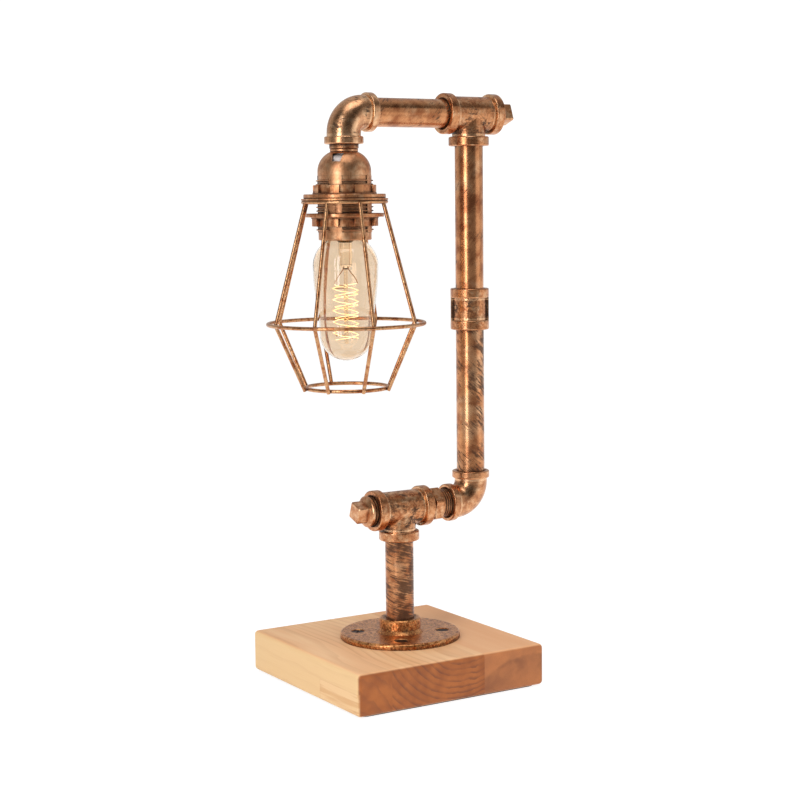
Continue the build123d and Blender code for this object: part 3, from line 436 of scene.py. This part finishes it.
def board(name, ring_centre, ring_gap, squash, seed, line, end_line, pink=0.0, inset_corner=None):
    """Glued pine stave, grain along Y: rings on its ends, streaks along its top and sides.

    ring_centre is the tree's heart in X and Z (mm), and squash flattens its rings. line and end_line say how
    strongly the rings show. inset_corner is the end (Y) and the lower and upper edge (Z) of a piece let into
    the side's front corner.
    """
    f = Finish.of_material(name)
    here = f.place()
    warp = f.noise(here.stretched((1.0, 0.12, 1.0)).moved((seed, seed, 0)), 18.0, 3.0, 0.55) - 0.5
    drift = f.noise(here.stretched((0.3, 1.0, 0.3)).moved((0, seed * 3, 0)), 120.0, 1.0) - 0.5
    x, y, z = f.parts(here)
    across = x - ring_centre[0] + warp * 10.0 + drift * 24.0
    up = (z - ring_centre[1] + drift * 14.0) * squash
    distance = (across * across + up * up).root() + warp * 11.0
    year = (distance / ring_gap + seed * 0.37).fraction()
    late = year.rise(0.40, 0.93) * (1 - year.rise(0.93, 1.0))
    fading = f.noise(here.stretched((1.0, 0.15, 1.0)).moved((seed, 0, 0)), 12.0, 2.0).rise(0.35, 0.65)
    fibres = f.noise(here.stretched((1.0, 0.02, 1.0)).moved((seed, 0, seed)), 0.55, 3.0, 0.6)
    pores = f.noise(here.moved((0, 0, seed)), 0.7, 2.0, 0.6)
    soft = f.noise(here.stretched((1.0, 0.1, 1.0)).moved((0, 0, seed)), 14.0, 2.0).rise(0.3, 0.7)
    towards_x, towards_y, _ = f.facing()
    end_face = abs(towards_y).rise(0.35, 0.85)
    side_face = abs(towards_x).rise(0.35, 0.85)
    early_wood = f.blend(TOP_PALE, TOP_WARM, soft)
    early_wood = f.blend(early_wood, SIDE_PALE, side_face * 0.9)
    early_wood = f.blend(early_wood, f.blend(END_PALE, END_WARM, soft), end_face)
    early_wood = f.blend(early_wood, HEART_PINK, (1 - side_face) * pink * (1 - end_face * 0.6))
    late_wood = f.blend(TOP_LINE, END_LINE, end_face)
    strength = line * (1 - end_face) * (1 - side_face * 0.6) + end_face * end_line
    ringed = late * strength * (0.35 + fading * 0.65) + fibres.rise(0.5, 0.8) * 0.14
    colour = f.blend(early_wood, late_wood, ringed)
    colour = f.blend(colour, PORE, end_face * pores.rise(0.55, 0.8) * 0.3)
    if inset_corner:
        end, low, high = inset_corner
        inset = (y < end) * (z > low) * (z < high) * side_face
        edge = inset * (1 - (y < end - INSET_RIM) * (z > low + INSET_RIM) * (z < high - INSET_RIM))
        grain = f.noise(here.stretched((1.0, 0.05, 1.0)).moved((40.0, 0, 9.0)), 2.6, 2.0).rise(0.4, 0.62)
        colour = f.blend(colour, f.blend(INSET_PALE, INSET_WARM, grain), inset * 0.7)
        colour = f.blend(colour, INSET_EDGE, edge * 0.25)
    return f.finished(
        Base_Color=colour,
        Roughness=0.46 + fibres * 0.14 + f.noise(here, 3.0) * 0.03,
        Normal=f.bump(fibres * 0.7 + late * 0.3, 0.05, 0.5),
        Coat_Weight=0.06,
        Coat_Roughness=0.35)


# ------------------------------------------------------------------ other finishes
FELT_DEEP, FELT_WORN = srgb(20, 20, 21), srgb(52, 50, 50)
FILAMENT_METAL = srgb(120, 90, 60)


def plain_grained(name, colour, other, size, roughness, metallic=0.0, depth=0.04, coat=0.0):
    """Small parts: two close tones and a fine grain."""
    f = Finish.of_material(name)
    tone = f.noise(f.place(), size * 4, 3.0)
    grain = f.noise(f.place(), size, 3.0, 0.6)
    return f.finished(
        Base_Color=f.blend(colour, other, tone.rise(0.25, 0.75)),
        Metallic=metallic,
        Roughness=roughness + grain * 0.12,
        Coat_Weight=coat,
        Normal=f.bump(grain, depth, 0.5))


def felt(name):
    """Matted black wool."""
    f = Finish.of_material(name)
    fibres = f.noise(f.place(), 0.5, 4.0, 0.7, 1.5)
    return f.finished(
        Base_Color=f.blend(FELT_DEEP, FELT_WORN, fibres.rise(0.35, 0.7)),
        Roughness=0.95,
        Sheen_Weight=0.3,
        Normal=f.bump(fibres, 0.2, 0.8))


def clear_glass(name, tint):
    """Blown glass: faint waves and a warm tint."""
    f = Finish.of_material(name)
    waves = f.noise(f.place().stretched((1.0, 1.0, 0.4)), 14.0, 1.0)
    return f.finished(
        Base_Color=f.blend(tint, WHITE, waves * 0.15),
        Roughness=0.0,
        Transmission_Weight=1.0,
        IOR=1.45,
        Normal=f.bump(waves, 0.12, 0.25))


def glowing_wire(name, warm, hot, strength):
    """Lit filament, hotter in some places than in others."""
    f = Finish.of_material(name)
    heat = f.noise(f.place(), 3.0, 2.0)
    return f.finished(
        Base_Color=FILAMENT_METAL,
        Roughness=0.5,
        Emission_Color=f.blend(warm, hot, heat.rise(0.3, 0.7)),
        Emission_Strength=strength)


# ------------------------------------------------------------------ finishes on the CAD nodes
def give(material, *nodes):
    """A finish to CAD nodes, in the slots they came with."""
    for name in nodes:
        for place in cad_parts[name].material_slots:
            place.material = material


give(brushed_copper("pipe_post_low", "Z", POST_AXIS, stain_and_shade_share=0.66, pitch=52.0, seed=3.0,
                    along=0.22, across=0.6), "lower_post_pipe")
give(brushed_copper("pipe_post_high", "Z", POST_AXIS, stain_and_shade_share=0.46, pitch=-95.0, seed=17.0,
                    along=0.12, across=0.6), "upper_post_pipe")
give(brushed_copper("pipe_stem", "Z", STEM_AXIS, stain_and_shade_share=0.84, pitch=20.0, seed=31.0,
                    along=0.38, across=0.38), "stem_nipple")
give(brushed_copper("pipe_arm", "X", ARM_AXIS, stain_and_shade_share=0.52, pitch=60.0, seed=5.0,
                    along=0.22, across=0.6), "arm_pipe")
give(cast_copper("cast_tee_low", LOWER_TEE, TEE_REACH, TEE_BAND,
                 stain_and_shade_share=0.84, pebble=1.3, pebble_size=1.5, seed=4.0), "lower_tee")
give(cast_copper("cast_tee_high", UPPER_TEE, TEE_REACH, TEE_BAND,
                 stain_and_shade_share=0.74, pebble=1.1, pebble_size=1.5, seed=23.0), "upper_tee")
give(cast_copper("cast_elbow_low", LOWER_ELBOW, ELBOW_REACH, ELBOW_BAND,
                 stain_and_shade_share=0.46, pebble=0.4, pebble_size=1.8, seed=9.0, pale=0.12), "lower_elbow")
give(cast_copper("cast_elbow_high", UPPER_ELBOW, ELBOW_REACH, ELBOW_BAND,
                 stain_and_shade_share=0.74, pebble=0.45, pebble_size=1.8, seed=57.0, pale=0.34), "upper_elbow")
give(cast_copper("cast_coupling", COUPLING, COUPLING_REACH, COUPLING_BAND,
                 stain_and_shade_share=0.80, pebble=1.6, pebble_size=1.5, seed=13.0), "post_coupling")
give(threaded_copper("cast_nipple", LOWER_ELBOW, NIPPLE_THREAD_END, seed=21.0), "hex_nipple")
give(threaded_copper("plug_low", LOWER_TEE, TEE_REACH + LOWER_PLUG_THREAD, seed=33.0), "lower_plug")
give(threaded_copper("plug_high", UPPER_TEE, TEE_REACH + UPPER_PLUG_THREAD, seed=61.0), "upper_plug")
give(flange_copper("cast_flange", seed=2.0), "floor_flange")
give(satin_copper("holder_satin", pebble=0.15, stain_and_shade_share=0.25, seed=0.0, pale=0.22),
     "holder_cap", "holder_skirt", "neck_ring")
give(satin_copper("neck_rough", pebble=1.2, stain_and_shade_share=0.9, seed=5.0), "holder_neck")
give(satin_copper("ring_satin", pebble=0.3, stain_and_shade_share=0.45, seed=8.0),
     "upper_shade_ring", "lower_shade_ring", "cage_plate")
give(wire_copper("cage_wire"), "cage_top_ring", "cage_wires", "cage_mid_ring", "cage_bottom_ring")

give(plain_grained("zinc_cast", srgb(232, 222, 218), srgb(204, 194, 190),
                   size=0.8, roughness=0.5, metallic=0.5, depth=0.2), "cord_grip")
give(plain_grained("dark_screw", srgb(78, 62, 54), srgb(44, 34, 30),
                   size=0.6, roughness=0.4, metallic=0.9), "flange_screws", "grip_screw")
give(plain_grained("porcelain", srgb(238, 235, 228), srgb(228, 223, 214),
                   size=2.0, roughness=0.12, depth=0.02, coat=0.6), "holder_core")
give(plain_grained("brass_rolled", srgb(222, 186, 112), srgb(196, 152, 84),
                   size=0.7, roughness=0.3, metallic=1.0),
     "screw_shell", "centre_contact", "terminal_screws", "bulb_cap")
give(plain_grained("seal_glass", srgb(14, 14, 16), srgb(28, 28, 30), size=1.0, roughness=0.1), "bulb_seal")
give(plain_grained("solder", srgb(176, 176, 178), srgb(150, 150, 152),
                   size=0.8, roughness=0.35, metallic=0.9), "bulb_tip")
give(plain_grained("support_wire", srgb(206, 160, 110), srgb(170, 120, 76),
                   size=0.5, roughness=0.35, metallic=0.9), "filament_supports")
give(plain_grained("gland_plastic", srgb(22, 22, 23), srgb(32, 32, 34),
                   size=0.5, roughness=0.55, depth=0.05), "cord_gland", "cord_gland_nut")
give(plain_grained("lead_rubber", srgb(26, 26, 27), srgb(38, 37, 37),
                   size=0.6, roughness=0.6, depth=0.05), "base_lead", "arm_lead", "head_lead")
give(plain_grained("core_plastic", srgb(116, 60, 36), srgb(96, 48, 30),
                   size=0.5, roughness=0.45), "holder_conductors")
give(felt("base_felt_black"), "base_felt")
give(board("board_left", (-96.0, -34.0), ring_gap=8.0, squash=1.0, seed=2.3, line=0.28, end_line=0.35,
           inset_corner=(-23.0, -1.0, 16.5)), "base_stave_left")
give(board("board_middle", (12.0, 44.0), ring_gap=5.6, squash=1.4, seed=5.1, line=0.40, end_line=0.75),
     "base_stave_middle")
give(board("board_right", (64.0, -40.0), ring_gap=40.0, squash=1.0, seed=0.9, line=0.45, end_line=0.6,
           pink=0.55), "base_stave_right")
give(clear_glass("bulb_warm_glass", srgb(240, 224, 204)), "bulb_glass")
give(clear_glass("stem_glass", srgb(252, 240, 222)), "bulb_stem")

# ------------------------------------------------------------------ the bulb's filament
WIRE_SIDES = 8
FILAMENT_WIRE = 0.22 * MM      # radius
FILAMENT_TURNS = 5
FILAMENT_HOOKS = 5             # anchors that each turn is hung on
FILAMENT_STEPS = 6             # points from hook to hook
FILAMENT_TAUT = 0.65           # 0 is round, 1 is straight from hook to hook
LEG_WIRE = 0.32 * MM
LEG_START = 13.0 * MM          # lead-in wires leave the glass this far above the first turn
LEG_GAP = 1.1 * MM             # from the middle, where they leave it
LEG_STEPS = 24


def wire_mesh(points, radius):
    """Corners and faces of a round wire along a line of points, closed at both ends."""
    last = len(points) - 1
    corners, side = [], None
    for i, here in enumerate(points):
        ahead = (points[min(i + 1, last)] - points[max(i - 1, 0)]).normalized()
        side = ahead.orthogonal() if side is None else side - ahead * side.dot(ahead)
        side.normalize()
        other = ahead.cross(side)
        for k in range(WIRE_SIDES):
            angle = k * math.tau / WIRE_SIDES
            corners.append(here + (side * math.cos(angle) + other * math.sin(angle)) * radius)
    faces = []
    for start in range(0, last * WIRE_SIDES, WIRE_SIDES):
        for k in range(WIRE_SIDES):
            beside = (k + 1) % WIRE_SIDES
            faces.append((start + k, start + beside, start + WIRE_SIDES + beside, start + WIRE_SIDES + k))
    faces.append(tuple(reversed(range(WIRE_SIDES))))
    faces.append(tuple(last * WIRE_SIDES + k for k in range(WIRE_SIDES)))
    return corners, faces


def wire_piece(name, lines, radius, material):
    """One piece of several wires, on the bulb."""
    corners, faces = [], []
    for points in lines:
        more, sheets = wire_mesh(points, radius)
        faces += [tuple(index + len(corners) for index in sheet) for sheet in sheets]
        corners += more
    mesh = bpy.data.meshes.new(name)
    mesh.from_pydata(corners, [], faces)
    mesh.polygons.foreach_set("use_smooth", [True] * len(faces))
    mesh.materials.append(material)
    piece = bpy.data.objects.new(name, mesh)
    bpy.context.scene.collection.objects.link(piece)
    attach(piece, "bulb")
    return piece


coil_low, coil_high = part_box("bulb_filament")
coil_centre = (coil_low + coil_high) / 2
coil_top, coil_foot = coil_high.z - FILAMENT_WIRE, coil_low.z + FILAMENT_WIRE
outer_reach = (coil_high.x - coil_low.x) / 2 - FILAMENT_WIRE
inner_reach = outer_reach - 3 * FILAMENT_WIRE


def winding(hand, reach):
    """Wire wound down the coil, hung on its hooks turn by turn and drawn straighter between them."""
    hook_angle = math.tau / FILAMENT_HOOKS
    count = FILAMENT_TURNS * FILAMENT_HOOKS * FILAMENT_STEPS
    line = []
    for i in range(count + 1):
        turn = FILAMENT_TURNS * math.tau * i / count
        chord = math.cos(hook_angle / 2) / math.cos(turn % hook_angle - hook_angle / 2)
        out = reach * (1 - FILAMENT_TAUT + FILAMENT_TAUT * chord)
        line.append(Vector((coil_centre.x + out * math.cos(turn) * hand, coil_centre.y + out * math.sin(turn),
                            coil_top + (coil_foot - coil_top) * i / count)))
    return line


def leg(hand, reach):
    """Lead-in wire from the glass out to the start of a winding."""
    line = []
    for i in range(LEG_STEPS + 1):
        t = i / LEG_STEPS
        out = LEG_GAP + (reach - LEG_GAP) * (t * t * (3 - 2 * t))
        line.append(Vector((coil_centre.x + hand * out, coil_centre.y, coil_top + LEG_START * (1 - t))))
    return line


coil = wire_piece("filament_winding", [winding(1, outer_reach), winding(-1, inner_reach)], FILAMENT_WIRE,
                  glowing_wire("filament_lit", srgb(255, 204, 122), srgb(255, 240, 200), 2.6))
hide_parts("bulb_filament")
wire_piece("filament_legs", [leg(1, outer_reach), leg(-1, inner_reach)], LEG_WIRE,
           plain_grained("leg_wire", srgb(222, 164, 104), srgb(190, 128, 74),
                         size=0.5, roughness=0.4, metallic=0.3))

# ------------------------------------------------------------------ stage, light and camera
VIEW_AZIMUTH = math.radians(-31.69)
VIEW_ELEVATION = math.radians(6.43)
VIEW_ROLL = math.radians(-0.60)
VIEW_DISTANCE = 1.2426
VIEW_BACK = Vector((math.sin(VIEW_AZIMUTH) * math.cos(VIEW_ELEVATION),
                    -math.cos(VIEW_AZIMUTH) * math.cos(VIEW_ELEVATION), math.sin(VIEW_ELEVATION)))
FOCAL_PIXELS = 1774.0
SENSOR_WIDTH = 36.0
AIM = Vector((0.0, 0.0, 0.2))
AIM_PIXEL = (393.2, 399.14)    # where the aim lies in the picture

FLOOR_HALF = 30.0
FLOOR_MATTE = 0.32             # share of the floor that takes light and shadow
FLOOR_WHITE = (0.9, 0.9, 0.9, 1.0)
FLOOR_GLOW = 1.25
FLOOR_DARK = (0.06, 0.06, 0.06, 1.0)
UNLIT_FLOOR = (0.12, 0.7)      # metres towards the front where reflections find the floor dark
UNLIT_SHARE = 0.62

BACKDROP = 1.1                 # strength that camera rays and rays through glass find
DARK_SIDE, BRIGHT_SIDE = 0.03, 0.50    # what reflections find at the front, and what the back adds to it
BACK_REACH = (-0.35, 0.45)     # where the back sets in and where it is full, from -1 in front to 1 behind
AMBIENT = 0.6                  # strength for light that matt surfaces gather
LIGHTS_AIM = Vector((0.0, 0.0, 0.22))


def stage_floor():
    """White floor that keeps a faint shadow of the lamp."""
    mesh = bpy.data.meshes.new("floor")
    corners = [(-FLOOR_HALF, -FLOOR_HALF, 0), (FLOOR_HALF, -FLOOR_HALF, 0),
               (FLOOR_HALF, FLOOR_HALF, 0), (-FLOOR_HALF, FLOOR_HALF, 0)]
    mesh.from_pydata(corners, [], [(0, 1, 2, 3)])
    floor = bpy.data.objects.new("floor", mesh)
    bpy.context.scene.collection.objects.link(floor)
    f = Finish.of_material("floor_white")
    camera, glossy, through = f.rays()
    seen = (camera + glossy + through).least(1.0)
    matte = f.node("BsdfDiffuse", values={"Color": FLOOR_WHITE})
    shine = f.node("Emission", values={"Color": WHITE, "Strength": FLOOR_GLOW})
    lit = f.node("MixShader", values={0: FLOOR_MATTE, 1: shine, 2: matte})
    x, y, _ = f.parts(f.node("TexCoord", output="Object"))
    unlit = (x * VIEW_BACK.x + y * VIEW_BACK.y).rise(*UNLIT_FLOOR) * glossy
    dim = f.node("BsdfDiffuse", values={"Color": FLOOR_DARK})
    lit = f.node("MixShader", values={0: unlit * UNLIT_SHARE, 1: lit, 2: dim})
    mesh.materials.append(f.surface(f.node("MixShader", values={0: seen, 1: matte, 2: lit})))


def studio_world():
    """Even soft light; rays that see the background find it white, and reflections find its front dark."""
    world = bpy.data.worlds.new("studio")
    bpy.context.scene.world = world
    f = Finish(world)
    camera, glossy, through = f.rays()
    plain = camera + through
    x, y, _ = f.parts(f.node("TexCoord", output="Generated"))
    behind = (x * -VIEW_BACK.x + y * -VIEW_BACK.y).rise(*BACK_REACH)
    reflected = DARK_SIDE + behind * BRIGHT_SIDE
    strength = plain * BACKDROP + glossy * reflected + (1 - (plain + glossy).least(1.0)) * AMBIENT
    f.surface(f.node("Background", values={"Color": WHITE, "Strength": strength}), "World")


def soft_box(name, azimuth, elevation, distance, width, height, radiance):
    """Rectangular studio light that faces the lamp's middle; azimuth 0 is at the camera, + to its right."""
    front = Vector((VIEW_BACK.x, VIEW_BACK.y, 0)).normalized()
    turned = Matrix.Rotation(math.radians(azimuth), 3, "Z") @ front
    raised = math.radians(elevation)
    direction = Vector((turned.x * math.cos(raised), turned.y * math.cos(raised), math.sin(raised)))
    light = bpy.data.lights.new(name, "AREA")
    light.shape = "RECTANGLE"
    light.size, light.size_y = width, height
    light.energy = radiance * math.pi * width * height
    lamp = bpy.data.objects.new(name, light)
    lamp.location = LIGHTS_AIM + direction * distance
    lamp.rotation_euler = direction.to_track_quat("Z", "Y").to_euler()
    lamp.visible_camera = False
    bpy.context.scene.collection.objects.link(lamp)


def photo_camera():
    """Camera fitted to the base's corners and the pipes' axes."""
    right = Vector((math.cos(VIEW_AZIMUTH), math.sin(VIEW_AZIMUTH), 0))
    up = VIEW_BACK.cross(right)
    across = right * math.cos(VIEW_ROLL) + up * math.sin(VIEW_ROLL)
    upward = up * math.cos(VIEW_ROLL) - right * math.sin(VIEW_ROLL)
    middle = IMAGE_SIZE / 2
    metres_per_pixel = VIEW_DISTANCE / FOCAL_PIXELS
    location = (AIM + VIEW_BACK * VIEW_DISTANCE
                - across * ((AIM_PIXEL[0] - middle) * metres_per_pixel)
                + upward * ((AIM_PIXEL[1] - middle) * metres_per_pixel))
    data = bpy.data.cameras.new("photo_view")
    data.sensor_width = SENSOR_WIDTH
    data.lens = FOCAL_PIXELS * SENSOR_WIDTH / IMAGE_SIZE
    camera = bpy.data.objects.new("photo_view", data)
    camera.matrix_world = Matrix((
        (across.x, upward.x, VIEW_BACK.x, location.x),
        (across.y, upward.y, VIEW_BACK.y, location.y),
        (across.z, upward.z, VIEW_BACK.z, location.z),
        (0, 0, 0, 1)))
    bpy.context.scene.collection.objects.link(camera)
    bpy.context.scene.camera = camera


stage_floor()
studio_world()
soft_box("key_left", azimuth=-30.0, elevation=14.0, distance=1.25, width=0.40, height=1.30, radiance=4.7)
soft_box("side_right", azimuth=74.0, elevation=12.0, distance=1.30, width=0.80, height=1.10, radiance=0.70)
soft_box("top", azimuth=10.0, elevation=74.0, distance=1.30, width=0.90, height=0.70, radiance=2.2)
photo_camera()
bpy.context.scene.view_settings.view_transform = "Standard"
